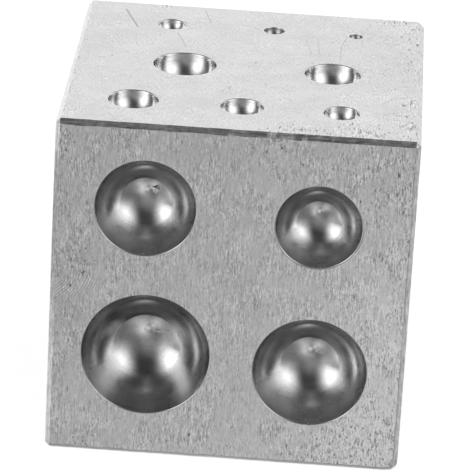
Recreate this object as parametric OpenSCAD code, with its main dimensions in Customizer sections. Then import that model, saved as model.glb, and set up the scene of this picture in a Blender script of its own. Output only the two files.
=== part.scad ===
// Dapping block: a steel cube with round cavities cut into all six faces.
// Sheet metal is laid over a cavity and driven in with a round-headed punch to raise a dome.
// The block stands on the middle of its bottom face, +Z up, with the four-cavity face towards -Y.

/* [Block] */
// Edge length of the cube
block_size = 50; // [42:0.5:80]
// Flat filed on every edge, measured along each of the two faces
edge_chamfer = 0.65; // [0.2:0.05:1.5]
// How far each corner is rounded in from the point where its three flats meet
corner_trim = 0.2; // [0:0.05:0.5]

/* [Top face] */
// Diameters of the three cavities in the back row, left to right
top_back_row = [4, 3, 2]; // [1:0.5:6]
// Diameters of the two cavities in the middle row
top_middle_row = [9, 8]; // [6:0.5:12]
// Diameters of the three cavities in the front row
top_front_row = [7, 6, 5]; // [3:0.5:9]

/* [Front face] */
// Diameters of the two upper cavities, left to right
front_upper_pair = [14, 12]; // [8:0.5:17]
// Diameters of the two lower cavities
front_lower_pair = [18, 16]; // [10:0.5:20]

/* [Left face] */
// Diameters of the two upper cavities, left to right as seen from that side
left_upper_pair = [15, 13]; // [8:0.5:17]
// Diameters of the two lower cavities
left_lower_pair = [10, 11]; // [6:0.5:13]

/* [Back, right and bottom faces] */
// Diameters of the two cavities that lie corner to corner on the back face
back_pair = [22, 20]; // [12:0.5:24]
// Diameter of the single cavity on the right face
right_cavity = 25; // [15:0.5:30]
// Diameter of the single cavity on the bottom face
bottom_cavity = 30; // [18:0.5:34]

/* [Cavity finish] */
// Break filed at the mouth of every cavity
rim_break = 0.15; // [0.05:0.05:0.3]
// Width of the mark that the cutter's point leaves at the bottom of a large cavity
point_mark_width = 0.8; // [0.4:0.1:1.2]
// Depth of that mark
point_mark_depth = 0.1; // [0.05:0.01:0.15]
// Smallest cavity diameter that has the mark
point_mark_from = 10; // [8:1:40]

/* [Hidden] */
$fn = 96;

// Cavity centres were laid out on a face of this size, and spread with the block
layout_face = 50;
spread = block_size / layout_face;
half_block = block_size / 2;

// Each row: diameter, then the centre's place from the middle of the face, across and up, seen from outside
top_cavities = [
    [top_back_row[0], -12.0, 16.2],
    [top_back_row[1], 3.0, 16.3],
    [top_back_row[2], 15.0, 16.1],
    [top_middle_row[0], -9.0, -0.1],
    [top_middle_row[1], 12.1, -0.2],
    [top_front_row[0], -15.1, -15.3],
    [top_front_row[1], 0.0, -15.4],
    [top_front_row[2], 13.8, -15.4]
];
front_cavities = [
    [front_upper_pair[0], -12.2, 12.7],
    [front_upper_pair[1], 11.8, 11.6],
    [front_lower_pair[0], -11.3, -9.4],
    [front_lower_pair[1], 11.8, -10.4]
];
left_cavities = [
    [left_upper_pair[0], -11.6, 11.8],
    [left_upper_pair[1], 11.4, 12.3],
    [left_lower_pair[0], -11.9, -11.7],
    [left_lower_pair[1], 11.7, -11.2]
];
back_cavities = [
    [back_pair[0], -10.9, 10.6],
    [back_pair[1], 11.4, -11.0]
];
right_cavities = [[right_cavity, 0, 0]];
bottom_cavities = [[bottom_cavity, 0, 0]];

// A square with its four corners cut off, which extrudes into a bar with chamfered edges
module chamfered_square() {
    inner = half_block - edge_chamfer;
    polygon([
        [half_block, -inner], [half_block, inner], [inner, half_block], [-inner, half_block],
        [-half_block, inner], [-half_block, -inner], [-inner, -half_block], [inner, -half_block]
    ]);
}

// The plain cube about its own centre, chamfered on all twelve edges and rounded at the eight corners
module edged_cube() {
    corner_reach = sqrt(3) * (half_block - edge_chamfer / 2);
    intersection() {
        linear_extrude(block_size, center = true) chamfered_square();
        rotate([90, 0, 0]) linear_extrude(block_size, center = true) chamfered_square();
        rotate([0, 90, 0]) linear_extrude(block_size, center = true) chamfered_square();
        sphere(r = corner_reach - corner_trim);
    }
}

// What the cutter removes for one cavity: half of this ball lies in the metal, below the face at z = 0
module cavity(diameter) {
    radius = diameter / 2;
    sphere(r = radius);
    translate([0, 0, -2 * rim_break])
        cylinder(h = 3 * rim_break, r1 = radius - rim_break, r2 = radius + 2 * rim_break);
    if (diameter >= point_mark_from)
        translate([0, 0, -radius - point_mark_depth])
            cylinder(h = 2 * point_mark_depth, r1 = 0, r2 = point_mark_width);
}

// Cuts a face's cavities, with z = 0 on the face and +Z pointing out of the metal
module face_cut(cavities) {
    translate([0, 0, half_block])
        for (row = cavities)
            translate([row[1] * spread, row[2] * spread, 0])
                cavity(row[0]);
}

module block() {
    color([0.7, 0.7, 0.7])
        translate([0, 0, half_block])
            difference() {
                edged_cube();
                face_cut(top_cavities);
                rotate([90, 0, 0]) face_cut(front_cavities);
                rotate([0, 0, -90]) rotate([90, 0, 0]) face_cut(left_cavities);
                rotate([0, 0, 180]) rotate([90, 0, 0]) face_cut(back_cavities);
                rotate([0, 0, 90]) rotate([90, 0, 0]) face_cut(right_cavities);
                rotate([180, 0, 0]) face_cut(bottom_cavities);
            }
}

block();
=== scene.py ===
"""Looks of a steel dapping block: one chamfered cube with round cavities in all six faces.

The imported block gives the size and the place. Sizes in the classes are in millimetres, seen
from outside each face, and everything that Blender gets is in metres.
"""
from __future__ import annotations

import logging
import math
from dataclasses import dataclass, field
from enum import Enum, IntEnum
from typing import Any, Sequence

import bpy
from bpy.types import Material, Mesh, MeshPolygon, MeshUVLoopLayer, NodeSocket, Object, World
from mathutils import Matrix, Quaternion, Vector, noise


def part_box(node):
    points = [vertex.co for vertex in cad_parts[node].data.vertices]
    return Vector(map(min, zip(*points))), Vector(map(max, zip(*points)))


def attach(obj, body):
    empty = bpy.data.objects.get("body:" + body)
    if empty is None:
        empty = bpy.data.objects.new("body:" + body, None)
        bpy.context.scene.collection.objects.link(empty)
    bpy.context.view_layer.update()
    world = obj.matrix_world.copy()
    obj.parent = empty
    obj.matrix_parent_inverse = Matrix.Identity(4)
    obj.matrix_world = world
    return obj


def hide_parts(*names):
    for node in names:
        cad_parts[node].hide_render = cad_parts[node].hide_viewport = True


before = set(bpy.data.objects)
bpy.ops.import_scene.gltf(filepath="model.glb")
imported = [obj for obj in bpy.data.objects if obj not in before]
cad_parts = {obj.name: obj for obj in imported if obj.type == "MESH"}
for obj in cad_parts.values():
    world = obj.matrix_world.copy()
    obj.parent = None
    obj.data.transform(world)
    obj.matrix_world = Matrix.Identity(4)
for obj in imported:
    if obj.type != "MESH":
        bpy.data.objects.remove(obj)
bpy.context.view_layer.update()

MM = 0.001
Number = float | int
Span = tuple[float, float]


class Wire:
    """An output socket, with arithmetic that adds Math nodes behind it."""

    def __init__(self, graph: Graph, socket: NodeSocket) -> None:
        """Keeps the socket and the graph that new nodes go into."""
        self.graph = graph
        self.socket = socket

    def maths(self, operation: str, *others: Wire | Number, first: Wire | Number | None = None) -> Wire:
        """Adds one Math node.

        Args:
            operation: Name of the Math node's operation.
            others: The inputs after the first.
            first: What stands in the first input, or None for this wire.

        Returns:
            The result's wire.
        """
        values = [self if first is None else first, *others]
        return self.graph.add("Math", {"operation": operation}, dict(enumerate(values)))

    def __add__(self, other: Wire | Number) -> Wire:
        """This plus the other, in either order."""
        return self.maths("ADD", other)

    __radd__ = __add__

    def __sub__(self, other: Wire | Number) -> Wire:
        """This minus the other."""
        return self.maths("SUBTRACT", other)

    def __rsub__(self, other: Number) -> Wire:
        """A number minus this."""
        return self.maths("SUBTRACT", self, first=other)

    def __mul__(self, other: Wire | Number) -> Wire:
        """This times the other, in either order."""
        return self.maths("MULTIPLY", other)

    __rmul__ = __mul__

    def __truediv__(self, other: Wire | Number) -> Wire:
        """This over the other."""
        return self.maths("DIVIDE", other)

    def size(self) -> Wire:
        """This without its sign."""
        return self.maths("ABSOLUTE")

    def smallest(self, other: Wire | Number) -> Wire:
        """The smaller of this and the other."""
        return self.maths("MINIMUM", other)

    def largest(self, other: Wire | Number) -> Wire:
        """The larger of this and the other."""
        return self.maths("MAXIMUM", other)

    def ease(self, start: Number, end: Number, low: Number = 0, high: Number = 1) -> Wire:
        """Turns start to end into low to high along a smooth curve, and holds both ends.

        Args:
            start: Value of this wire that gives low.
            end: Value of this wire that gives high.
            low: Result at start.
            high: Result at end.

        Returns:
            The result's wire.
        """
        sockets = {"Value": self, "From Min": start, "From Max": end, "To Min": low, "To Max": high}
        if start > end:
            sockets.update({"From Min": end, "From Max": start, "To Min": high, "To Max": low})
        return self.graph.add("MapRange", {"interpolation_type": "SMOOTHSTEP"}, sockets)

    def sister(self, output: str) -> Wire:
        """Another output of the same node."""
        return Wire(self.graph, self.graph.find(self.socket.node.outputs, output))


class Graph:
    """The node tree of a material or of the room, to which nodes are added by type."""

    def __init__(self, owner: Material | World) -> None:
        """Empties the owner's node tree and keeps it.

        Args:
            owner: The material or the world.
        """
        owner.use_nodes = True
        self.tree = owner.node_tree
        self.tree.nodes.clear()

    def add(self, kind: str, settings: dict[str, Any] | None = None, sockets: dict[Any, Any] | None = None,
            output: str | int = 0) -> Wire:
        """Adds one node, with its settings first and its sockets after them.

        Args:
            kind: The node's type, without the ShaderNode before it.
            settings: Properties of the node, such as a Math node's operation.
            sockets: Values or wires by the socket's identifier, name or number.
            output: Name or number of the output that is handed back.

        Returns:
            The wire of that output.
        """
        node = self.tree.nodes.new("ShaderNode" + kind)
        for name, value in (settings or {}).items():
            setattr(node, name, value)
        for key, value in (sockets or {}).items():
            socket = self.find(node.inputs, key)
            if isinstance(value, Wire):
                self.tree.links.new(value.socket, socket)
            else:
                socket.default_value = value
        return Wire(self, self.find(node.outputs, output))

    @staticmethod
    def find(sockets: Any, key: str | int) -> NodeSocket:
        """Finds a socket by its number, identifier or name, in that order.

        Args:
            sockets: A node's inputs or outputs.
            key: The number, identifier or name.

        Returns:
            The socket.
        """
        if isinstance(key, int):
            return sockets[key]
        for socket in sockets:
            if socket.identifier == key:
                return socket
        return sockets[key]

    def noise(self, place: Wire, scale: float = 1, detail: float = 2, roughness: float = 0.5) -> Wire:
        """Smooth noise from 0 to 1 with a mean of a half.

        Args:
            place: Vector at which the noise is read.
            scale: Lumps per unit of that vector.
            detail: Octaves of finer noise on it.
            roughness: How strong the finer octaves are.

        Returns:
            The noise as a value.
        """
        sockets = {"Vector": place, "Scale": scale, "Detail": detail, "Roughness": roughness}
        return self.add("TexNoise", {}, sockets, "Fac")

    def stretched(self, place: Wire, scale: Sequence[float], shift: Sequence[float] = (0, 0, 0)) -> Wire:
        """A place vector after a Mapping node's scale and shift."""
        sockets = {"Vector": place, "Scale": scale, "Location": shift}
        return self.add("Mapping", {"vector_type": "POINT"}, sockets)

    def object_place(self) -> Wire:
        """The object's own coordinates in millimetres."""
        return self.vector("SCALE", self.add("TexCoord", output="Object"), 1 / MM)

    def vector(self, operation: str, first: Any, second: Any = None, output: str | int = 0) -> Wire:
        """Adds one Vector Math node.

        Args:
            operation: Name of the node's operation.
            first: The first vector.
            second: The second vector, or the number that scales the first.
            output: Name or number of the output that is handed back.

        Returns:
            The wire of that output.
        """
        sockets = {0: first}
        if second is not None:
            sockets["Scale" if operation == "SCALE" else 1] = second
        return self.add("VectorMath", {"operation": operation}, sockets, output)

    def parts(self, vector: Wire) -> tuple[Wire, Wire, Wire]:
        """The three numbers of a vector, as wires."""
        first = self.add("SeparateXYZ", {}, {0: vector}, "X")
        return first, first.sister("Y"), first.sister("Z")

    def grey(self, value: Wire) -> Wire:
        """A grey colour of that value."""
        return self.add("CombineColor", {}, {"Red": value, "Green": value, "Blue": value})

    def surface(self, shader: Wire, output: str = "ShaderNodeOutputMaterial") -> None:
        """Adds the output node and links the shader to its surface."""
        node = self.tree.nodes.new(output)
        self.tree.links.new(shader.socket, node.inputs["Surface"])

    def bare_metal(self, colour: Wire, roughness: Wire, height: Wire, strength: float, depth: float) -> None:
        """Ends a material as bare metal.

        Args:
            colour: Grey level of the metal.
            roughness: Its roughness.
            height: Height of the marks on it.
            strength: How strongly the marks turn the light.
            depth: Millimetres of a height of 1.
        """
        marks = {"Strength": strength, "Distance": depth * MM, "Height": height}
        normal = self.add("Bump", {}, marks, "Normal")
        sockets = {"Base Color": self.grey(colour), "Metallic": 1.0, "Roughness": roughness, "Normal": normal}
        self.surface(self.add("BsdfPrincipled", {}, sockets))


def new_material(name: str) -> tuple[Material, Graph]:
    """Makes an empty node material.

    Args:
        name: The material's name.

    Returns:
        The material and its graph.
    """
    material = bpy.data.materials.new(name)
    return material, Graph(material)


class Run(Enum):
    """Which way the marks of the tool run on a surface, as a direction."""

    ACROSS = (1, 0, 0)
    TO_THE_BACK = (0, 1, 0)
    UPRIGHT = (0, 0, 1)

    def scales(self, pitch: float, draw: float) -> tuple[float, ...]:
        """Noise scales for marks of that many to the millimetre, and a share of it along the run."""
        return tuple(pitch * (draw if along else 1) for along in self.value)


@dataclass(frozen=True)
class Marks:
    """Uneven marks: how many to the millimetre, octaves of finer ones, their strength and a common level."""

    pitch: float
    octaves: int = 2
    finer: float = 0.5
    level: float = 1.0

    def shown(self, place: Wire, run: Run | None = None, draw: float = 1.0) -> Wire:
        """Draws the marks, without their level.

        Args:
            place: The object's coordinates in millimetres.
            run: The way that they are drawn out, or None for round ones.
            draw: How many there are along the run, as a share of the pitch.

        Returns:
            Noise from 0 to 1.
        """
        graph = place.graph
        if run is None:
            return graph.noise(place, self.pitch, self.octaves, self.finer)
        return graph.noise(graph.stretched(place, run.scales(self.pitch, draw)), 1, self.octaves, self.finer)


def bell(across: Wire, up: Wire) -> Wire:
    """1 where both are 0, fading smoothly with their distance from it."""
    return ((across * across + up * up) * -1).maths("EXPONENT")


@dataclass(frozen=True)
class Blotch:
    """A round area with a soft border.

    On a flat it is in the block's own millimetres, and in a cavity in shares of the radius.
    """

    across: float
    up: float
    radius: float
    level: float

    def shown(self, across: Wire, up: Wire) -> Wire:
        """The area's level at its middle, fading smoothly to nothing at about twice the radius."""
        return self.level * bell((across - self.across) / self.radius, (up - self.up) / self.radius)


@dataclass(frozen=True)
class Scratch:
    """A thin scratch on the top face through a few points, in millimetres from the middle of the face."""

    points: tuple[Span, ...]
    width: float
    level: float
    core: float = 0.2

    def shown(self, place: Wire) -> Wire:
        """Draws the scratch.

        Args:
            place: The object's coordinates in millimetres.

        Returns:
            The scratch's level on it and 0 elsewhere.
        """
        graph = place.graph
        flat = graph.vector("MULTIPLY", place, (1, 1, 0))
        found = None
        for here, there in zip(self.points, self.points[1:]):
            start = Vector((*here, 0))
            line = Vector((*there, 0)) - start
            away = graph.vector("SUBTRACT", flat, start)
            along = graph.vector("DOT_PRODUCT", away, line / line.length_squared, output="Value")
            nearest = graph.vector("SCALE", tuple(line), along.largest(0).smallest(1))
            distance = graph.vector("DISTANCE", away, nearest, output="Value")
            found = distance if found is None else found.smallest(distance)
        return self.level * (found / self.width).ease(1, self.core)


@dataclass(frozen=True)
class CutterArcs:
    """Faint arcs that a milling cutter left on the front, round a centre in millimetres."""

    centre: Span
    pitch: float
    area: Blotch

    def shown(self, across: Wire, up: Wire, ragged: Wire) -> Wire:
        """Draws the arcs.

        Args:
            across: Place across the face, in millimetres.
            up: Place up the face, in millimetres.
            ragged: Noise about 0 that bends the arcs a little.

        Returns:
            The arcs as a wave about 0, of the area's level.
        """
        left, over = across - self.centre[0], up - self.centre[1]
        radius = (left * left + over * over).maths("SQRT") + ragged * self.pitch
        return (radius * (2 * math.pi / self.pitch)).maths("SINE") * self.area.shown(across, up)


@dataclass(frozen=True)
class GroundSteel:
    """Ground steel: fine straight grain in patches, soft clouds, small dark pits and a few scratches, with
    painted light and shade on the seen face: a slope and soft areas.
    """

    name: str
    run: Run
    tone: float = 0.76
    # Painted light: how much lighter the seen face is made towards its lower right.
    painted_light_slope: float = 0.0
    roughness: float = 0.36
    cloud_roughness: float = 0.12
    pit_roughness: float = 0.2
    grain: float = 1.0
    grain_at_right: float = 1.4
    clouds: float = 0.4
    mottle: float = 2.2
    fine_marks: Marks = Marks(7.5, 3, 0.7, 1.6)
    fine_draw: float = 0.14
    coarse_marks: Marks = Marks(1.8, level=0.3)
    coarse_draw: float = 0.16
    speckle_marks: Marks = Marks(6.5, 2, 0.6, 0.9)
    mottle_marks: Marks = Marks(3.4, 2, 0.6)
    stretch: float = 0.4
    patch_marks: Marks = Marks(0.35, 3, 0.6)
    cloud_marks: Marks = Marks(0.16, 4, 0.62)
    ragged_marks: Marks = Marks(0.7)
    pits_everywhere: float = 0.05
    pit_depth: float = 0.5
    pit_sizes: tuple[Span, ...] = ((1.6, 0.28), (2.9, 0.34))
    pit_bend: float = 0.6
    pit_bend_pitch: float = 2.5
    half: float = 25.0
    border: float = 0.6
    full_border: float = 0.4
    left_wear: float = 0.7
    left_wear_to: float = 1.0
    right_wear: float = 0.3
    right_wear_from: float = 0.8
    coarse_height: float = 0.5
    pit_height: float = 0.5
    bump: float = 0.12
    bump_depth: float = 0.02
    worn_areas: tuple[Blotch, ...] = ()
    # Painted light and shade: soft lighter and darker areas on the seen face.
    painted_light_and_shade: tuple[Blotch, ...] = ()
    arcs: tuple[CutterArcs, ...] = ()
    scratches: tuple[Scratch, ...] = ()

    def material(self) -> Material:
        """Builds the finish.

        Returns:
            The material.
        """
        material, graph = new_material(self.name)
        place = graph.object_place()
        x, y, z = graph.parts(place)
        upright = self.run is Run.UPRIGHT
        up = z if upright else y
        outward, edge = (y * -1, self.half) if upright else (z, 2 * self.half)
        seen = outward.ease(edge - self.border, edge - self.full_border)
        wear = self.worn(place, x, up) * seen
        share = self.pits_everywhere + wear
        patches = self.patch_marks.shown(place).ease(0.35, 0.65, low=0.5, high=1.5)
        fine = self.fine_marks.shown(place, self.run, self.fine_draw) - 0.5
        coarse = self.coarse_marks.shown(place, self.run, self.coarse_draw) - 0.5
        speckle = self.speckle_marks.shown(place, self.run, self.stretch) - 0.5
        mottle = self.mottle_marks.shown(place, self.run, self.stretch) - 0.5
        clouds = self.cloud_marks.shown(place) - 0.5
        patches = patches * x.ease(0, self.half, low=1, high=self.grain_at_right)
        grain = self.fine_marks.level * fine + self.coarse_marks.level * coarse
        grain = self.grain * (grain + self.speckle_marks.level * speckle) * patches
        pits = self.pits(place, share)
        colour = self.tone * (1 + grain + self.clouds * clouds + self.mottle * mottle * wear.smallest(1))
        # Painted light: the seen face is made lighter towards its lower right.
        colour = colour + self.painted_light_slope * (x - up + self.half) / self.half * seen
        # Painted light and shade in soft areas of the seen face.
        for area in self.painted_light_and_shade:
            colour = colour + area.shown(x, up) * seen
        for arcs in self.arcs:
            colour = colour * (1 + arcs.shown(x, up, 2 * clouds) * seen)
        colour = colour * (1 - self.pit_depth * pits)
        for scratch in self.scratches:
            colour = colour * (1 - scratch.shown(place) * seen)
        roughness = self.roughness + self.cloud_roughness * clouds + self.pit_roughness * pits
        height = fine + self.coarse_height * coarse + self.pit_height * (1 - pits)
        graph.bare_metal(colour, roughness, height, self.bump, self.bump_depth)
        return material

    def worn(self, place: Wire, across: Wire, up: Wire) -> Wire:
        """How worn the seen face is at each place, with ragged borders.

        Args:
            place: The object's coordinates in millimetres.
            across: Place across the face, in millimetres.
            up: Place up the face, in millimetres.

        Returns:
            The wear, mostly from 0 to 1.
        """
        right = across.ease(self.half * self.right_wear_from, self.half)
        left = across.ease(self.border - self.half, self.left_wear_to - self.half, low=1, high=0)
        wear = self.right_wear * right + self.left_wear * left
        for area in self.worn_areas:
            wear = wear + area.shown(across, up)
        return wear * self.ragged_marks.shown(place).ease(0.3, 0.65, low=0.3, high=1.5)

    def pits(self, place: Wire, share: Wire) -> Wire:
        """Small dark pits drawn out along the grain.

        Args:
            place: The object's coordinates in millimetres.
            share: The share of the spots that hold a pit.

        Returns:
            1 in a pit and 0 elsewhere.
        """
        graph = place.graph
        lumps = {"Vector": place, "Scale": self.pit_bend_pitch, "Detail": 2.0}
        bend = graph.add("TexNoise", {}, lumps, "Color")
        bent = graph.vector("ADD", place, graph.vector("SCALE", bend, self.pit_bend))
        found = None
        for pitch, radius in self.pit_sizes:
            spots = {"Vector": graph.stretched(bent, self.run.scales(pitch, self.stretch)), "Scale": 1.0}
            distance = graph.add("TexVoronoi", {"feature": "F1"}, spots, "Distance")
            lot = graph.add("SeparateColor", {}, {"Color": distance.sister("Color")}, "Red")
            chosen = (share - lot).ease(0, 0.1)
            spot = (distance / radius).ease(1.0, 0.4) * chosen
            found = spot if found is None else found.largest(spot)
        return found


@dataclass(frozen=True)
class Knock:
    """A place on the front top edge where blows have broken up the filed strokes, in millimetres."""

    across: float
    width: float
    level: float
    lean: float = 0.5


@dataclass(frozen=True)
class FiledSteel:
    """The filed flats on the edges, with file strokes along them, a few knocks and painted light and shade in
    soft areas.
    """

    name: str
    run: Run
    tone: float
    roughness: float = 0.34
    patch_roughness: float = 0.2
    knock_roughness: float = 0.35
    contrast: float = 1.0
    strokes: Marks = Marks(5.0, 3, 0.65, 2.6)
    stroke_draw: float = 0.1
    patches: Marks = Marks(1.2, 3, 0.65, 1.3)
    knock_spots: Marks = Marks(4.5, 2, 0.6)
    knock_border: Marks = Marks(2.2, 2, 0.6, 1.6)
    knock_up: float = 49.7
    knock_height: float = 0.4
    darkest: float = 0.05
    palest: float = 0.95
    bump: float = 0.3
    bump_depth: float = 0.03
    knocks: tuple[Knock, ...] = ()
    # Painted light and shade: soft lighter and darker areas on single edges.
    painted_light_and_shade: tuple[Blotch, ...] = ()

    def material(self) -> Material:
        """Builds the finish.

        Returns:
            The material.
        """
        material, graph = new_material(self.name)
        place = graph.object_place()
        x, _, z = graph.parts(place)
        strokes = self.strokes.shown(place, self.run, self.stroke_draw) - 0.5
        patches = self.patches.shown(place) - 0.5
        knocked = self.knocked(place, x, z)
        uneven = self.strokes.level * strokes + self.patches.level * patches
        colour = self.tone * (1 + self.contrast * uneven)
        # Painted light and shade in soft areas of single edges.
        for area in self.painted_light_and_shade:
            colour = colour + area.shown(x, z)
        colour = colour.largest(self.darkest).smallest(self.palest)
        colour = colour + (self.palest - colour) * knocked
        roughness = self.roughness + self.patch_roughness * patches + self.knock_roughness * knocked
        height = strokes + self.knock_height * knocked
        graph.bare_metal(colour, roughness, height, self.bump, self.bump_depth)
        return material

    def knocked(self, place: Wire, x: Wire, z: Wire) -> Wire | float:
        """Where the knocks are.

        Args:
            place: The object's coordinates in millimetres.
            x: Place across the block, in millimetres.
            z: Height above the base, in millimetres.

        Returns:
            How much of the strokes is gone, from 0 to 1.
        """
        if not self.knocks:
            return 0.0
        spots = self.knock_spots.shown(place)
        ragged = x + self.knock_border.level * (self.knock_border.shown(place) - 0.5)
        found = None
        for knock in self.knocks:
            distance = (ragged - knock.lean * (z - self.knock_up) - knock.across).size()
            spot = knock.level * (distance / knock.width).ease(1.2, 0.5)
            found = spot if found is None else found.largest(spot)
        return found * spots.ease(0.35, 0.6)


@dataclass(frozen=True)
class PolishedBowl:
    """The polished inside of a cavity, with fine rings left by the turning ball cutter and painted light and
    shade in soft patches of its wall.
    """

    name: str
    tone: float
    roughness: float = 0.05
    edge_roughness: float = 0.2
    edge_span: Span = (0.84, 0.95)
    ring_roughness: float = 0.08
    smear_roughness: float = 0.06
    # Roughness added low on the wall where the painted light lies.
    painted_shading_roughness: float = 0.5
    rings: float = 60.0
    ring_marks: Marks = Marks(1.0, 3, 0.6, 0.25)
    wander: float = 2.0
    wander_marks: Marks = Marks(0.4)
    smears: Marks = Marks(0.9, 4, 0.65, 0.6)
    lip_from: float = 1.004
    lip_tone: float = 0.58
    grooves_to_a_ring: float = 2.5
    groove: float = 0.008
    inner_groove: float = 0.05
    # Painted light and shade: soft lighter and darker patches of the wall, in shares of the radius.
    painted_bowl_shading: tuple[Blotch, ...] = ()
    map_name: str = "bowl"

    def material(self) -> Material:
        """Builds the finish on the map that each cavity carries, where 1 is its radius.

        Returns:
            The material.
        """
        material, graph = new_material(self.name)
        flat = graph.add("UVMap", {"uv_map": self.map_name}, output="UV")
        centred = graph.stretched(flat, (2, 2, 0), shift=(-1, -1, 0))
        out = graph.vector("LENGTH", centred, output="Value")
        reach = out.smallest(1).maths("ARCSINE") * (2 / math.pi)
        lip = out.ease(1, self.lip_from)
        place = graph.object_place()
        wander = self.wander_marks.shown(place)
        along = {"X": reach * self.rings, "Y": wander * self.wander}
        ring_place = graph.add("CombineXYZ", {}, along)
        rings = self.ring_marks.shown(ring_place) - 0.5
        grooves = graph.noise(graph.vector("SCALE", ring_place, self.grooves_to_a_ring))
        smears = self.smears.shown(place) - 0.5
        across, up, _ = graph.parts(centred)
        # Painted light and shade in soft patches of the wall.
        painted_shading = 0.0
        for area in self.painted_bowl_shading:
            painted_shading = area.shown(across, up) + painted_shading
        colour = self.tone * (1 + self.ring_marks.level * rings + self.smears.level * smears + painted_shading)
        colour = colour + (self.lip_tone - colour) * lip
        edge = out.ease(*self.edge_span) * (1 - lip) * up.ease(0.8, 0.2, low=0.3, high=1)
        roughness = self.roughness + self.edge_roughness * edge + self.ring_roughness * rings
        roughness = roughness + self.smear_roughness * smears
        # The wall is made rougher where the painted light lies low on it.
        if self.painted_bowl_shading:
            low_wall = out.ease(0.5, 0.62) * up.ease(-0.15, -0.35)
            roughness = roughness + self.painted_shading_roughness * painted_shading.largest(0) * low_wall
        height = grooves * out.ease(0.5, 0.75, low=self.inner_groove, high=1)
        graph.bare_metal(colour, roughness, height, 1.0, self.groove)
        return material


@dataclass(frozen=True)
class PaleFloor:
    """A matt pale floor. The camera sees it near white, and its shadow stays."""

    name: str = "pale_floor"
    tone: float = 0.8
    camera_lift: float = 0.5

    def material(self) -> Material:
        """Builds the finish.

        Returns:
            The material.
        """
        material, graph = new_material(self.name)
        sees = graph.add("LightPath", output="Is Camera Ray")
        matt = graph.add("BsdfDiffuse", {}, {"Color": (self.tone, self.tone, self.tone, 1)})
        lift = {"Color": (1, 1, 1, 1), "Strength": sees * self.camera_lift}
        glow = graph.add("Emission", {}, lift)
        graph.surface(graph.add("AddShader", {}, {0: matt, 1: glow}))
        return material


class Face(Enum):
    """A face of the cube, as its directions across, up and out, seen from outside."""

    FRONT = ((1, 0, 0), (0, 0, 1), (0, -1, 0))
    LEFT = ((0, -1, 0), (0, 0, 1), (-1, 0, 0))
    BACK = ((-1, 0, 0), (0, 0, 1), (0, 1, 0))
    RIGHT = ((0, 1, 0), (0, 0, 1), (1, 0, 0))
    TOP = ((1, 0, 0), (0, 1, 0), (0, 0, 1))
    BOTTOM = ((1, 0, 0), (0, -1, 0), (0, 0, -1))

    def turn(self) -> Matrix:
        """The turn that takes a cutter's X, Y and Z to this face's directions."""
        return Matrix(self.value).transposed()


class Slot(IntEnum):
    """The place of each finish among the block's. The edges' three start at EDGE."""

    SIDE = 0
    END = 1
    SIDE_BOWL = 2
    END_BOWL = 3
    SMALL_BOWL = 4
    DEEP_BOWL = 5
    EDGE = 6


def pick(*pieces: Object) -> None:
    """Leaves edit mode and selects these pieces alone, the first as the active one."""
    if bpy.context.object and bpy.context.object.mode != "OBJECT":
        bpy.ops.object.mode_set(mode="OBJECT")
    bpy.ops.object.select_all(action="DESELECT")
    for piece in pieces:
        piece.select_set(True)
    if pieces:
        bpy.context.view_layer.objects.active = pieces[0]


def edit_all() -> None:
    """Enters edit mode on the active piece, with all of it selected."""
    bpy.ops.object.mode_set(mode="EDIT")
    bpy.ops.mesh.select_all(action="SELECT")


@dataclass(frozen=True)
class Cavity:
    """One round cavity: its face, its diameter and its centre's place from the middle of the face."""

    face: Face
    diameter: float
    across: float
    up: float
    lip: float = 0.15
    lip_angles: tuple[float, ...] = (22.5, 45.0, 67.5, 80.0)
    above: float = 0.02
    stock: float = 1.0
    point_depth: float = 0.1
    point_from: float = 10.0
    least_segments: int = 40
    segments_per_mm: int = 4

    @property
    def radius(self) -> float:
        """Half the diameter."""
        return self.diameter / 2

    def mouth(self, middle: Vector, half: float) -> Vector:
        """The middle of the cavity's mouth, in metres.

        Args:
            middle: Middle of the cube, in metres.
            half: Half the cube's edge, in millimetres.

        Returns:
            Its place.
        """
        return middle + self.face.turn() @ Vector((self.across, self.up, half)) * MM

    def cutter(self, mouth: Vector) -> Object:
        """Models what the ball cutter removes, with a rounded lip, standing at its place.

        Args:
            mouth: The middle of the cavity's mouth, in metres.

        Returns:
            The cutter, a closed mesh.
        """
        pick()
        segments = int(round(self.diameter * self.segments_per_mm + self.least_segments, -1))
        bpy.ops.mesh.primitive_uv_sphere_add(
            segments=segments, ring_count=segments // 2, radius=self.radius * MM)
        ball = bpy.context.object
        edit_all()
        bpy.ops.mesh.bisect(plane_co=(0, 0, -self.lip * MM), plane_no=(0, 0, 1), clear_outer=True)
        bpy.ops.mesh.select_all(action="DESELECT")
        bpy.ops.mesh.select_non_manifold()
        reach = math.sqrt(self.radius ** 2 - self.lip ** 2)
        spot = (reach, -self.lip)
        for width, height in self.lip_profile(reach):
            bpy.ops.mesh.extrude_edges_move(TRANSFORM_OT_translate={"value": (0, 0, (height - spot[1]) * MM)})
            wider = width / spot[0]
            bpy.ops.transform.resize(value=(wider, wider, 1), center_override=(0, 0, 0))
            spot = (width, height)
        bpy.ops.mesh.edge_face_add()
        bpy.ops.mesh.select_all(action="SELECT")
        bpy.ops.mesh.normals_make_consistent(inside=False)
        bpy.ops.object.mode_set(mode="OBJECT")
        if self.diameter >= self.point_from:
            lowest = min(ball.data.vertices, key=lambda vertex: vertex.co.z)
            lowest.co.z -= self.point_depth * MM
        ball.matrix_world = Matrix.Translation(mouth) @ self.face.turn().to_4x4()
        return ball

    def lip_profile(self, reach: float) -> list[Span]:
        """The lip's rounding from the ball's wall to the face, and on out of the metal.

        Args:
            reach: Radius of the ball where the lip starts.

        Returns:
            Radius and height of each ring, in millimetres.
        """
        rings = []
        for angle in map(math.radians, self.lip_angles):
            rings.append((reach + self.lip * (1 - math.cos(angle)), self.lip * (math.sin(angle) - 1)))
        width, height = rings[-1]
        rise = self.above - height
        width += rise * math.tan(math.radians(self.lip_angles[-1]))
        return rings + [(width, self.above), (width, self.stock)]


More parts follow.
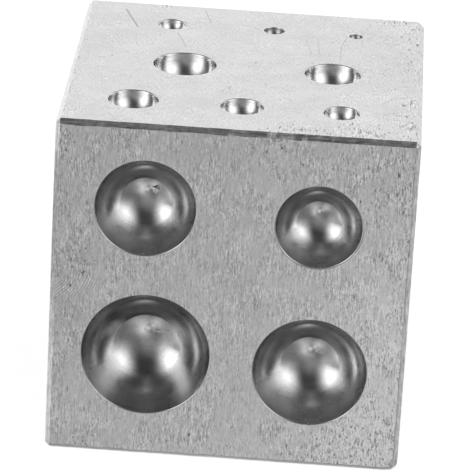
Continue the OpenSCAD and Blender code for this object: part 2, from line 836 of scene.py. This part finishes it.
@dataclass(frozen=True)
class ToolMark:
    """A tiny faceted nick in a cavity's wall: its place from the middle, half its size and its depth."""

    cavity: int
    across: float
    up: float
    width: float
    height: float
    depth: float
    facets: int = 5
    turn: float = 20.0
    rounding: float = 0.1
    overhang: float = 3.0

    def cutter(self, cavity: Cavity, mouth: Vector) -> Object:
        """Models the pointed bit of the nick, standing at its place.

        Args:
            cavity: The cavity that it marks.
            mouth: The middle of the cavity's mouth, in metres.

        Returns:
            The cutter, a closed mesh.
        """
        pick()
        sink = math.sqrt(cavity.radius ** 2 - self.across ** 2 - self.up ** 2)
        away = Vector((self.across, self.up, -sink))
        tall = self.overhang * self.depth
        bpy.ops.mesh.primitive_cone_add(
            vertices=self.facets, radius1=0, radius2=self.overhang * self.width * MM, depth=tall * MM)
        bit = bpy.context.object
        edit_all()
        bpy.ops.transform.rotate(value=math.radians(self.turn), orient_axis="Z", center_override=(0, 0, 0))
        bpy.ops.transform.resize(value=(1, self.height / self.width, 1), center_override=(0, 0, 0))
        bpy.ops.transform.translate(value=(0, 0, (tall / 2 - self.depth) * MM))
        bpy.ops.mesh.bevel(offset=self.rounding * self.width * MM, segments=2, affect="EDGES")
        bpy.ops.object.mode_set(mode="OBJECT")
        stand = cavity.face.turn() @ Vector((0, 0, -1)).rotation_difference(away).to_matrix()
        bit.matrix_world = Matrix.Translation(mouth + cavity.face.turn() @ away * MM) @ stand.to_4x4()
        return bit


@dataclass
class DappingBlock:
    """The whole block: a cube with filed edges and the cavities cut into its faces."""

    node: str = "block"
    edge_flat: float = 0.65
    edge_round: float = 0.05
    edge_cuts: int = 50
    wobble: float = 0.1
    wobble_pitch: float = 1.6
    corner_reach: float = 1.7
    corner_wear: float = 0.9
    worn_corners: tuple[tuple[int, int, int], ...] = ((1, -1, -1), (1, 1, 1))
    cavities: tuple[Cavity, ...] = (
        Cavity(Face.TOP, 4, -12.0, 16.2), Cavity(Face.TOP, 3, 3.0, 16.3), Cavity(Face.TOP, 2, 15.0, 16.1),
        Cavity(Face.TOP, 9, -9.0, -0.1), Cavity(Face.TOP, 8, 12.1, -0.2), Cavity(Face.TOP, 7, -15.1, -15.3),
        Cavity(Face.TOP, 6, 0.0, -15.4), Cavity(Face.TOP, 5, 13.8, -15.4),
        Cavity(Face.FRONT, 14, -12.2, 12.7), Cavity(Face.FRONT, 12, 11.8, 11.6),
        Cavity(Face.FRONT, 18, -11.3, -9.4), Cavity(Face.FRONT, 16, 11.8, -10.4),
        Cavity(Face.LEFT, 15, -11.6, 11.8), Cavity(Face.LEFT, 13, 11.4, 12.3),
        Cavity(Face.LEFT, 10, -11.9, -11.7), Cavity(Face.LEFT, 11, 11.7, -11.2),
        Cavity(Face.BACK, 22, -10.9, 10.6), Cavity(Face.BACK, 20, 11.4, -11.0),
        Cavity(Face.RIGHT, 25, 0.0, 0.0), Cavity(Face.BOTTOM, 30, 0.0, 0.0),
    )
    tool_marks: tuple[ToolMark, ...] = (
        ToolMark(8, 0.95, 0.2, 0.6, 0.6, 0.17, facets=4),
        ToolMark(9, 0.1, -0.15, 0.35, 0.25, 0.05, turn=50),
        ToolMark(10, 0.95, -0.3, 0.75, 0.25, 0.09, turn=75),
        ToolMark(11, 1.1, -0.3, 0.6, 0.3, 0.09, turn=75),
    )
    side_finish: GroundSteel = GroundSteel(
        # The front carries painted light: a slope lighter towards its lower right.
        "ground_side", Run.UPRIGHT, tone=0.68, roughness=0.47, painted_light_slope=0.035,
        worn_areas=(
            Blotch(20, 5, 6, 0.8), Blotch(13, 1, 6, 0.6), Blotch(19, 43, 6, 0.35),
            Blotch(-24, 47.5, 1.8, 1.1), Blotch(4, 48.5, 4, 0.4), Blotch(-3, -1, 5, 0.4),
            Blotch(-25, 30, 5, 0.4), Blotch(-20.5, 28, 1.3, 0.8), Blotch(-22.5, 17, 3, 0.5),
            Blotch(-19.5, 0.5, 1.5, 0.8),
        ),
        # Painted light: soft lighter areas at the right and lower right of the front.
        painted_light_and_shade=(Blotch(25, 22, 13, 0.09), Blotch(22, 4, 10, 0.14)),
        arcs=(
            CutterArcs((-29, 30), 0.36, Blotch(-23, 24.8, 1.7, 0.22)),
            CutterArcs((-29, 30), 0.36, Blotch(-19.6, 25.8, 1.9, 0.22)),
        ),
    )
    end_finish: GroundSteel = GroundSteel(
        "ground_end", Run.TO_THE_BACK, grain=0.5, clouds=0.5, mottle=1.8, pit_depth=0.6, stretch=0.2,
        worn_areas=(
            Blotch(17.5, -23.9, 2.6, 1.8), Blotch(15, -21, 3, 0.5), Blotch(23.6, -19, 1.3, 2.6),
            Blotch(24.3, -10, 1.5, 1.8), Blotch(8, -24.3, 3, 1.4), Blotch(-24, -20, 2, 0.6),
            Blotch(-13.7, 23.7, 0.8, 1.0), Blotch(21, 24.8, 2.5, 1.0), Blotch(24.2, 21, 1.0, 1.8),
            Blotch(24.3, 15, 1.2, 1.2),
        ),
        # Painted shade: a slightly darker soft area towards the right of the top.
        painted_light_and_shade=(Blotch(19, 5, 11, -0.035),),
        scratches=(
            Scratch(((-19.2, 21.4), (-16.9, 14.0)), 0.24, 0.4),
            Scratch(((-11.0, 13.0), (-9.3, 6.9)), 0.13, 0.28),
            Scratch(((-7.6, 23.3), (-6.4, 17.8)), 0.14, 0.3),
            Scratch(((7.8, 12.8), (9.0, 6.3)), 0.12, 0.18),
            Scratch(((9.5, 12.7), (10.1, 6.5)), 0.12, 0.18),
            Scratch(((13.7, 15.7), (13.0, 10.9), (13.0, 5.4)), 0.13, 0.22),
            Scratch(((19.5, -10.7), (20.8, -8.5), (24.0, -7.5)), 0.2, 0.2),
        ),
    )
    # Lit and shaded copies of one filed finish: the edge tones differ by which way each edge faces, and their
    # soft areas are painted light and shade, with painted light on the bottom edges.
    edge_finishes: tuple[FiledSteel, ...] = (
        FiledSteel("filed_edge_across", Run.ACROSS, tone=0.5, roughness=0.36, knocks=(
            Knock(-0.8, 0.25, 0.4), Knock(4.6, 0.8, 0.8), Knock(6.8, 1.1, 0.6), Knock(9.2, 0.25, 0.6),
            Knock(13.1, 0.25, 0.5), Knock(20.0, 0.3, 0.3)), painted_light_and_shade=(Blotch(0, 0, 28, 0.6),)),
        FiledSteel("filed_edge_deep", Run.TO_THE_BACK, tone=0.82, contrast=0.4, painted_light_and_shade=(
            Blotch(25, 50, 10, -0.16),)),
        FiledSteel("filed_edge_upright", Run.UPRIGHT, tone=0.45, painted_light_and_shade=(
            Blotch(-25, 50, 5, 0.5), Blotch(-25, 9, 14, 0.4), Blotch(25, 25, 30, 0.12))),
    )
    # Both side cavity finishes carry painted light and shade: soft patches, mostly lighter low on the wall
    # and darker higher up at its sides.
    side_bowl_finish: PolishedBowl = PolishedBowl("polished_side_bowl", tone=0.5, painted_bowl_shading=(
        Blotch(-0.53, -0.42, 0.16, 0.2), Blotch(-0.68, -0.5, 0.19, 0.5), Blotch(0.62, -0.5, 0.18, 0.5),
        Blotch(-0.35, -0.74, 0.27, 0.45), Blotch(0.45, -0.8, 0.2, 0.25), Blotch(0.92, 0.0, 0.2, 0.3),
        Blotch(-0.15, 0.55, 0.25, 0.2), Blotch(-0.65, 0.2, 0.3, -0.3), Blotch(-0.75, -0.15, 0.16, -0.25),
        Blotch(0.6, 0.35, 0.2, -0.3), Blotch(0.67, 0.05, 0.13, -0.2),
    ))
    deep_bowl_finish: PolishedBowl = PolishedBowl("polished_deep_bowl", tone=0.5, painted_bowl_shading=(
        Blotch(-0.55, -0.45, 0.16, 0.25), Blotch(-0.6, -0.65, 0.23, 0.75), Blotch(0.48, -0.5, 0.15, 0.3),
        Blotch(0.57, -0.65, 0.18, 1.0), Blotch(-0.6, 0.28, 0.13, -0.3), Blotch(0.5, 0.36, 0.13, -0.3),
        Blotch(0.0, 0.52, 0.25, 0.2), Blotch(-0.67, 0.15, 0.3, -0.45), Blotch(-0.84, -0.1, 0.18, -0.3),
        Blotch(0.6, 0.38, 0.22, -0.45), Blotch(0.7, 0.08, 0.13, -0.2), Blotch(0.0, -0.75, 0.3, -0.25),
    ))
    end_bowl_finish: PolishedBowl = PolishedBowl(
        "polished_end_bowl", tone=0.66, edge_roughness=0.08, inner_groove=0.5)
    small_bowl_finish: PolishedBowl = PolishedBowl(
        "drilled_small_bowl", tone=0.42, roughness=0.2, edge_roughness=0.1)
    small_up_to: float = 3.0
    deep_from: float = 17.0
    inside_from: float = 0.0001
    flat_from: float = 0.9999
    smooth_to: float = 30.0
    piece: Object | None = field(default=None, init=False)

    def __post_init__(self) -> None:
        """Takes the cube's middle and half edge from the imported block, and places the mouths on it."""
        low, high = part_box(self.node)
        self.middle = (low + high) / 2
        self.half = (high.x - low.x) / 2 / MM
        self.mouths = [cavity.mouth(self.middle, self.half) for cavity in self.cavities]

    def build(self) -> Object:
        """Models, cuts and dresses the block.

        Returns:
            The finished piece.
        """
        self.piece = self.billet()
        self.cut([cavity.cutter(mouth) for cavity, mouth in zip(self.cavities, self.mouths)])
        marked = [(mark, mark.cavity) for mark in self.tool_marks]
        self.cut([mark.cutter(self.cavities[number], self.mouths[number]) for mark, number in marked])
        self.dress()
        self.piece.name = "dapping_block"
        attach(self.piece, "root")
        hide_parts(self.node)
        return self.piece

    def billet(self) -> Object:
        """Models the cube, with its filed and slightly rounded edges.

        Returns:
            The cube as one closed mesh.
        """
        pick()
        bpy.ops.mesh.primitive_cube_add(size=2 * self.half * MM, location=self.middle)
        cube = bpy.context.object
        bpy.ops.object.transform_apply(location=True, rotation=True, scale=True)
        edit_all()
        bpy.ops.mesh.subdivide(number_cuts=self.edge_cuts)
        self.bevel_sharp(angle=60, width=self.edge_flat, segments=1)
        bpy.ops.object.mode_set(mode="OBJECT")
        self.roughen_edges(cube.data)
        self.wear_corners(cube.data)
        bpy.ops.object.mode_set(mode="EDIT")
        self.bevel_sharp(angle=20, width=self.edge_round, segments=2)
        bpy.ops.object.mode_set(mode="OBJECT")
        return cube

    def wear_corners(self, mesh: Mesh) -> None:
        """Rounds a few knocked corners by moving what lies near them inward.

        Args:
            mesh: The chamfered cube.
        """
        for corner in self.worn_corners:
            inward = -Vector(corner).normalized()
            tip = self.middle + Vector(corner) * self.half * MM
            for vertex in mesh.vertices:
                nearness = 1 - (vertex.co - tip).length / MM / self.corner_reach
                if nearness > 0:
                    vertex.co += inward * self.corner_wear * nearness ** 2 * MM

    @staticmethod
    def bevel_sharp(angle: float, width: float, segments: int) -> None:
        """Bevels every edge of the open mesh that is sharper than an angle.

        Args:
            angle: Least angle between the edge's faces, in degrees.
            width: How far the bevel reaches from the edge, in millimetres.
            segments: Facets of the bevel.
        """
        bpy.ops.mesh.select_all(action="DESELECT")
        bpy.ops.mesh.select_mode(type="EDGE")
        bpy.ops.mesh.edges_select_sharp(sharpness=math.radians(angle))
        bpy.ops.mesh.bevel(offset_type="OFFSET", offset=width * MM, segments=segments, affect="EDGES")

    def roughen_edges(self, mesh: Mesh) -> None:
        """Moves the borders of the filed flats a little to and fro within their faces.

        Args:
            mesh: The chamfered cube.
        """
        inner = self.half - self.edge_flat
        near = self.edge_flat / 10
        for vertex in mesh.vertices:
            place = (vertex.co - self.middle) / MM
            borders = [axis for axis in range(3) if abs(abs(place[axis]) - inner) < near]
            if len(borders) != 1:
                continue
            axis = borders[0]
            side = math.copysign(1, place[axis])
            swing = noise.noise(place / self.wobble_pitch) * self.wobble
            vertex.co[axis] += side * swing * MM

    def cut(self, cutters: Sequence[Object]) -> None:
        """Takes the cutters, which lie clear of one another, out of the block in one go.

        Args:
            cutters: Closed meshes, which are used up.
        """
        pick(*cutters)
        bpy.ops.object.join()
        tool = bpy.context.object
        pick(self.piece)
        bpy.ops.object.modifier_add(type="BOOLEAN")
        difference = self.piece.modifiers[-1]
        difference.operation = "DIFFERENCE"
        difference.solver = "EXACT"
        difference.object = tool
        bpy.ops.object.modifier_apply(modifier=difference.name)
        bpy.data.objects.remove(tool)

    def dress(self) -> None:
        """Gives each region its finish, its shading and the cavities their map."""
        mesh = self.piece.data
        mesh.materials.clear()
        bowls = (self.side_bowl_finish, self.end_bowl_finish, self.small_bowl_finish, self.deep_bowl_finish)
        for finish in (self.side_finish, self.end_finish, *bowls, *self.edge_finishes):
            mesh.materials.append(finish.material())
        chart = mesh.uv_layers.new(name=self.side_bowl_finish.map_name)
        for polygon in mesh.polygons:
            owner = self.cavity_of(polygon)
            if owner is None:
                polygon.material_index = self.flat_slot(polygon)
            else:
                polygon.material_index = self.bowl_slot(self.cavities[owner])
                self.chart_bowl(chart, polygon, owner)
        self.shade()

    def cavity_of(self, polygon: MeshPolygon) -> int | None:
        """Finds the cavity that a polygon lines.

        Args:
            polygon: The polygon.

        Returns:
            The cavity's number, or None for a polygon outside every cavity.
        """
        for number, (cavity, mouth) in enumerate(zip(self.cavities, self.mouths)):
            away = polygon.center - mouth
            if away.length > (cavity.radius + cavity.lip * 2) * MM:
                continue
            inward = -(cavity.face.turn().transposed() @ away).z / MM
            if inward > self.inside_from:
                return number
        return None

    def chart_bowl(self, chart: MeshUVLoopLayer, polygon: MeshPolygon, number: int) -> None:
        """Maps a polygon of a cavity by its place across the mouth, from 0 to 1 over the diameter.

        Args:
            chart: The map.
            polygon: The polygon.
            number: The number of the cavity that it lines.
        """
        mesh = self.piece.data
        cavity = self.cavities[number]
        turn = cavity.face.turn().transposed()
        for loop in polygon.loop_indices:
            away = turn @ (mesh.vertices[mesh.loops[loop].vertex_index].co - self.mouths[number]) / MM
            chart.data[loop].uv = (0.5 + away.x / cavity.diameter, 0.5 + away.y / cavity.diameter)

    def bowl_slot(self, cavity: Cavity) -> int:
        """Chooses the finish of a cavity.

        Args:
            cavity: The cavity.

        Returns:
            Its slot.
        """
        if cavity.diameter <= self.small_up_to:
            return Slot.SMALL_BOWL
        if cavity.face in (Face.TOP, Face.BOTTOM):
            return Slot.END_BOWL
        return Slot.DEEP_BOWL if cavity.diameter >= self.deep_from else Slot.SIDE_BOWL

    def flat_slot(self, polygon: MeshPolygon) -> int:
        """Chooses the finish of a polygon outside the cavities.

        Args:
            polygon: The polygon.

        Returns:
            Its slot: an end's, a side's or, on an edge, that of the axis that the edge runs along.
        """
        lean = [abs(part) for part in polygon.normal]
        if max(lean) < self.flat_from:
            return Slot.EDGE + lean.index(min(lean))
        return Slot.END if lean[2] == max(lean) else Slot.SIDE

    def shade(self) -> None:
        """Marks the borders of the regions sharp and shades the rest smooth."""
        mesh = self.piece.data
        slots: dict[tuple[int, int], set[int]] = {}
        for polygon in mesh.polygons:
            kind = min(polygon.material_index, Slot.EDGE)
            for key in polygon.edge_keys:
                slots.setdefault(key, set()).add(kind)
        for edge in mesh.edges:
            edge.use_edge_sharp = len(slots[edge.key]) > 1
        pick(self.piece)
        bpy.ops.object.shade_smooth_by_angle(angle=math.radians(self.smooth_to), keep_sharp_edges=True)


@dataclass(frozen=True)
class Glow:
    """A soft patch of the room that the steel mirrors, lighter or darker than the rest of it."""

    azimuth: float
    elevation: float
    width: float
    height: float
    level: float
    flat: float = 0.0
    cut_off: Span | None = None

    def shown(self, azimuth: Wire, elevation: Wire) -> Wire:
        """Its light in each direction.

        Args:
            azimuth: Degrees to the right of straight in front of the block.
            elevation: Degrees above the horizon.

        Returns:
            The level at its middle, fading smoothly to nothing beyond the flat part.
        """
        across = ((azimuth - self.azimuth).size() - self.flat).largest(0) / self.width
        light = self.level * bell(across, (elevation - self.elevation) / self.height)
        return light if self.cut_off is None else light * elevation.ease(*self.cut_off)


@dataclass
class Studio:
    """The floor, the lamps, the world and the camera."""

    camera_place: tuple[float, float, float] = (15.91, -474.7, 226.92)
    camera_aim: tuple[float, float, float] = (-0.52, -0.39, 24.19)
    camera_roll: float = 3.19
    focal_length: float = 272.2
    sensor_width: float = 36.0
    floor_radius: float = 2000.0
    floor_corners: int = 96
    lamp_distance: float = 700.0
    lamp_size: float = 380.0
    lamp_level: float = 2.2
    lamp_height: float = 47.0
    lamp_azimuths: tuple[float, ...] = (-45.0, 36.0)
    room_level: float = 0.55
    darkest: float = 0.03
    overhead: float = 0.085
    horizon: float = 0.44
    horizon_span: Span = (40.0, 0.0)
    zenith: float = 0.25
    zenith_span: Span = (55.0, 78.0)
    underfoot: float = 0.3
    underfoot_span: Span = (-62.0, -46.0)
    backdrop: float = 1.03
    backdrop_side: Span = (85.0, 125.0)
    backdrop_top: Span = (60.0, 35.0)
    backdrop_foot: Span = (-55.0, -30.0)
    backdrop_low: float = 0.3
    inner_level: float = 0.22
    inner_overhead: float = 0.35
    inner_top: Span = (55.0, 28.0)
    inner_backdrop: float = 0.5
    inner_backdrop_side: Span = (90.0, 140.0)
    inner_gain: float = 0.5
    glows: tuple[Glow, ...] = (
        Glow(-54, 25, 19, 20, 2.1, cut_off=(0, 8)), Glow(-35, 18, 14, 22, 0.8),
        Glow(64, 31, 25, 24, 1.9, flat=6), Glow(8, -23, 14, 12, 0.78), Glow(-15, -36, 11, 12, 0.85),
        Glow(-64, -19, 15, 14, 1.1), Glow(92, -22, 20, 18, 0.4), Glow(20, -38, 13, 8, 0.28),
        Glow(-13, -35, 11, 27, -0.43), Glow(22, 12, 14, 33, -0.2), Glow(47, 1, 18, 31, -0.22),
    )
    inner_glows: tuple[Glow, ...] = (
        Glow(-69, -15, 19, 30, 3.6), Glow(71, -6, 13, 20, 3.5, flat=2), Glow(-35, 14, 8, 14, 2.2, flat=2),
        Glow(-47, 18, 8, 20, 1.4), Glow(46, 23, 7, 14, 0.8), Glow(-81, 27, 24, 28, 1.2, flat=13),
        Glow(82, 21, 31, 30, 2.2, flat=12), Glow(47, 42, 12, 9, 1.0), Glow(6, -20, 8, 13, 0.8),
        Glow(12, -50, 13, 13, 0.45), Glow(-27, -5, 12, 12, 0.4),
    )

    def build(self) -> None:
        """Sets up everything round the block."""
        self.camera()
        self.floor()
        for number, azimuth in enumerate(self.lamp_azimuths, 1):
            self.lamp(f"softbox_{number}", azimuth)
        self.world()
        bpy.context.scene.view_settings.view_transform = "Standard"

    def camera(self) -> None:
        """Places the camera at the photograph's viewpoint."""
        data = bpy.data.cameras.new("camera")
        data.lens = self.focal_length
        data.sensor_width = self.sensor_width
        camera = bpy.data.objects.new("camera", data)
        bpy.context.scene.collection.objects.link(camera)
        place = Vector(self.camera_place) * MM
        look = Vector(self.camera_aim) * MM - place
        roll = Quaternion((0, 0, 1), math.radians(self.camera_roll))
        turn = look.to_track_quat("-Z", "Y") @ roll
        camera.matrix_world = Matrix.Translation(place) @ turn.to_matrix().to_4x4()
        bpy.context.scene.camera = camera

    def floor(self) -> None:
        """Lays the floor under the block."""
        pick()
        bpy.ops.mesh.primitive_circle_add(
            vertices=self.floor_corners, radius=self.floor_radius * MM, fill_type="NGON")
        floor = bpy.context.object
        floor.name = "floor"
        floor.data.materials.append(PaleFloor().material())
        floor.visible_glossy = False

    def lamp(self, name: str, azimuth: float) -> None:
        """Hangs a square softbox that faces the block and lights the floor.

        Args:
            name: The lamp's name.
            azimuth: Degrees to the right of straight in front of the block.
        """
        data = bpy.data.lights.new(name, "AREA")
        data.shape = "SQUARE"
        data.size = self.lamp_size * MM
        data.energy = self.lamp_level * math.pi * data.size ** 2
        lamp = bpy.data.objects.new(name, data)
        bpy.context.scene.collection.objects.link(lamp)
        lamp.visible_glossy = False
        turn, rise = math.radians(azimuth), math.radians(self.lamp_height)
        way = Vector((math.sin(turn) * math.cos(rise), -math.cos(turn) * math.cos(rise), math.sin(rise)))
        place = way * self.lamp_distance * MM
        lamp.matrix_world = Matrix.Translation(place) @ (-way).to_track_quat("-Z", "Y").to_matrix().to_4x4()

    def world(self) -> None:
        """Makes the room: white to the camera, and softboxes, backdrop and floor to the steel."""
        world = bpy.data.worlds.new("room")
        bpy.context.scene.world = world
        graph = Graph(world)
        x, y, z = graph.parts(graph.add("TexCoord", output="Generated"))
        azimuth = x.maths("ARCTAN2", y * -1) * math.degrees(1)
        elevation = z.maths("ARCSINE") * math.degrees(1)
        first = self.first_mirrored(azimuth, elevation)
        inner = self.inner_mirrored(azimuth, elevation)
        for glow in self.inner_glows:
            inner = inner + glow.shown(azimuth, elevation)
        camera = graph.add("LightPath", output="Is Camera Ray")
        glossy = camera.sister("Is Glossy Ray")
        bounces = camera.sister("Glossy Depth")
        again = bounces.maths("GREATER_THAN", 1.5)
        # Each further bounce loses light in the metal, so the room is made that much brighter.
        level = first * (1 - again) + inner * self.inner_gain * bounces * again
        level = self.room_level * (1 - glossy) + level * glossy
        level = level * (1 - camera) + camera
        shader = graph.add("Background", {}, {"Color": graph.grey(level), "Strength": 1.0})
        graph.surface(shader, "ShaderNodeOutputWorld")

    def first_mirrored(self, azimuth: Wire, elevation: Wire) -> Wire:
        """What the steel mirrors at first hand.

        Args:
            azimuth: Degrees to the right of straight in front of the block.
            elevation: Degrees above the horizon.

        Returns:
            The room's level in each direction.
        """
        front = self.overhead + (self.horizon - self.overhead) * elevation.ease(*self.horizon_span)
        front = front + (self.zenith - self.overhead) * elevation.ease(*self.zenith_span)
        front = front * elevation.ease(*self.underfoot_span, low=self.underfoot)
        for glow in self.glows:
            front = front + glow.shown(azimuth, elevation)
        front = front.largest(self.darkest)
        behind = azimuth.size().ease(*self.backdrop_side) * elevation.ease(*self.backdrop_top)
        behind = behind * elevation.ease(*self.backdrop_foot, low=self.backdrop_low)
        return front + (self.backdrop - front) * behind

    def inner_mirrored(self, azimuth: Wire, elevation: Wire) -> Wire:
        """What a cavity's wall hands on to its other wall, apart from the glows, in each direction."""
        front = self.inner_level * elevation.ease(*self.inner_top, low=self.inner_overhead)
        return front + (self.inner_backdrop - front) * azimuth.size().ease(*self.inner_backdrop_side)


def main() -> None:
    """Builds the block and its studio, and reports each piece."""
    logging.basicConfig(level=logging.INFO, format="%(message)s")
    log = logging.getLogger("dapping_block")
    block = DappingBlock()
    piece = block.build()
    log.info("%s: %d faces, %d cavities", piece.name, len(piece.data.polygons), len(block.cavities))
    Studio().build()


if __name__ == "__main__":
    main()
